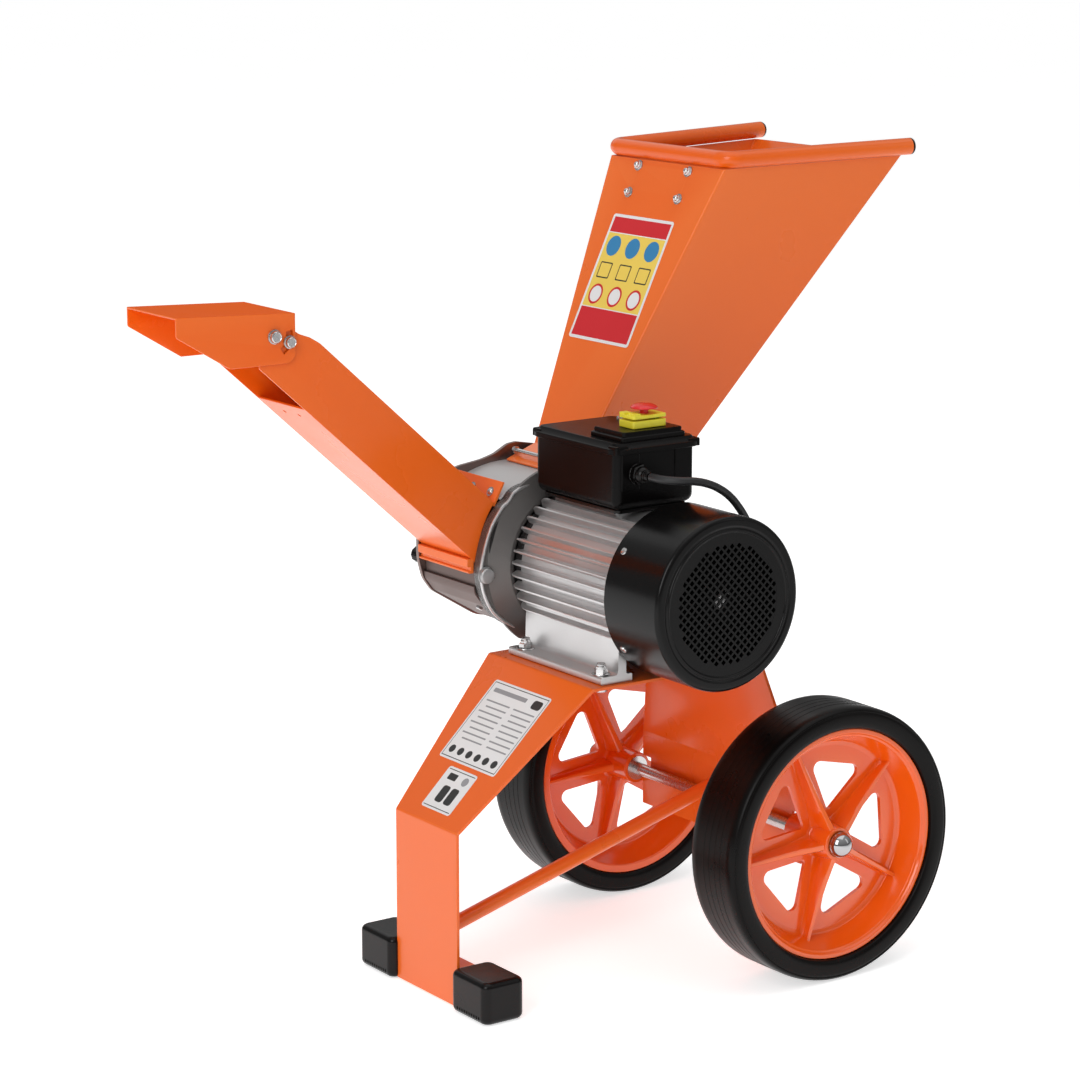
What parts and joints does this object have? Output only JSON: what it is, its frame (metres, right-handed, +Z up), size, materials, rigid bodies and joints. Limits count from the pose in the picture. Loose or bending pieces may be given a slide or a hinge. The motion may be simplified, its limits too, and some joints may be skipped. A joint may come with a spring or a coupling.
{
  "type": "wood chipper",
  "caption": "Wheeled electric wood chipper: a hopper feeds a motor-driven cutter drum, and a chute with a tilting deflector throws the chips out.",
  "frame": {"origin": "middle of the footprint, on the ground", "axes": "+Z up, +X towards the wheels and the hopper's high side, so the chute throws towards -X, and +Y from the motor's fan towards the cutter"},
  "size_m": [0.7765, 0.458, 0.7489],
  "materials": {
    "orange_paint": "semi-gloss powder coat",
    "orange_plastic": "semi-gloss moulded",
    "tyre": "matte, moulded",
    "black_rubber": "matte",
    "chrome": "polished",
    "black_plastic": "fine texture",
    "cast_aluminium": "satin casting",
    "dark_iron": "dark coated casting",
    "bright_steel": "zinc plated",
    "copper": "enamelled copper wire",
    "yellow_plastic": "moulded, satin gloss",
    "red_plastic": "moulded, gloss",
    "green_plastic": "moulded, gloss"
  },
  "bodies": {
    "frame": {"anvil_knife": "bright_steel", "axle": "bright_steel", "bearing_a": "bright_steel", "bearing_b": "bright_steel", "brace_tube": "orange_paint", "cable_gland": "black_plastic", "chamber_cover": "cast_aluminium", "chamber_flange": "cast_aluminium", "chamber_liner": "bright_steel", "chamber_plate": "cast_aluminium", "clamp_bolt_a": "bright_steel", "clamp_bolt_b": "bright_steel", "discharge_chute": "orange_paint", "end_bell_cutter": "dark_iron", "end_bell_fan": "dark_iron", "fan_cowl": "black_plastic", "flap_clamp": "bright_steel", "foot_bolt_1": "bright_steel", "foot_bolt_2": "bright_steel", "foot_bolt_3": "bright_steel", "foot_bolt_4": "bright_steel", "foot_cap_a": "black_rubber", "foot_cap_b": "black_rubber", "foot_crossbar": "orange_paint", "hopper": "orange_paint", "hopper_rear": "orange_paint", "hopper_rim": "orange_paint", "motor_housing": "cast_aluminium", "pivot_bolt_a": "bright_steel", "pivot_bolt_b": "bright_steel", "power_cord": "black_plastic", "power_plug": "black_plastic", "rim_cap_a": "black_plastic", "rim_cap_b": "black_plastic", "run_capacitor": "cast_aluminium", "stand_frame": "orange_paint", "stator_core": "dark_iron", "switch_base": "yellow_plastic", "switch_box": "black_plastic", "switch_box_lid": "black_plastic", "tie_bolt": "bright_steel", "winding_a": "copper", "winding_b": "copper"},
    "wheel_a": {"wheel_rim_a": "orange_plastic", "tyre_a": "tyre", "hub_cap_a": "chrome"},
    "wheel_b": {"wheel_rim_b": "orange_plastic", "tyre_b": "tyre", "hub_cap_b": "chrome"},
    "rotor": {"motor_shaft": "bright_steel", "rotor_core": "dark_iron", "cooling_fan": "black_plastic", "cutter_drum": "dark_iron", "knife_a": "bright_steel", "knife_b": "bright_steel"},
    "deflector": {"deflector": "orange_paint"},
    "switch_flap": {"switch_flap": "yellow_plastic"},
    "stop_button": {"stop_button": "red_plastic"},
    "start_button": {"start_button": "green_plastic"},
    "feed_flap": {"feed_flap": "black_rubber"}
  },
  "joints": [
    {"name": "wheel_a_spin", "type": "hinge", "parent": "frame", "child": "wheel_a", "pos_m": [0.1352, -0.1905, 0.1295], "axis": [0, 1, 0], "continuous": true},
    {"name": "wheel_b_spin", "type": "hinge", "parent": "frame", "child": "wheel_b", "pos_m": [0.1352, 0.1275, 0.1295], "axis": [0, 1, 0], "continuous": true},
    {"name": "motor_spin", "type": "hinge", "parent": "frame", "child": "rotor", "pos_m": [0.0217, -0.0315, 0.3658], "axis": [0, 1, 0], "continuous": true},
    {"name": "deflector_tilt", "type": "hinge", "parent": "frame", "child": "deflector", "pos_m": [-0.2905, 0.1093, 0.6021], "axis": [0, 1, 0], "range_deg": [-25, 22]},
    {"name": "switch_flap_swing", "type": "hinge", "parent": "frame", "child": "switch_flap", "pos_m": [0.0067, -0.0598, 0.517], "axis": [0, -1, 0], "range_deg": [0, 80]},
    {"name": "stop_press", "type": "slide", "parent": "switch_flap", "child": "stop_button", "axis": [0, 0, -1], "range_m": [0, 0.002], "stiffness_N_per_m": 200, "springref_m": -0.001},
    {"name": "start_press", "type": "slide", "parent": "frame", "child": "start_button", "axis": [0, 0, -1], "range_m": [0, 0.0012], "stiffness_N_per_m": 200, "springref_m": -0.001},
    {"name": "feed_flap_swing", "type": "hinge", "parent": "frame", "child": "feed_flap", "pos_m": [0.1922, 0.105, 0.706], "axis": [0, 1, 0], "range_deg": [-15, 30]}
  ]
}
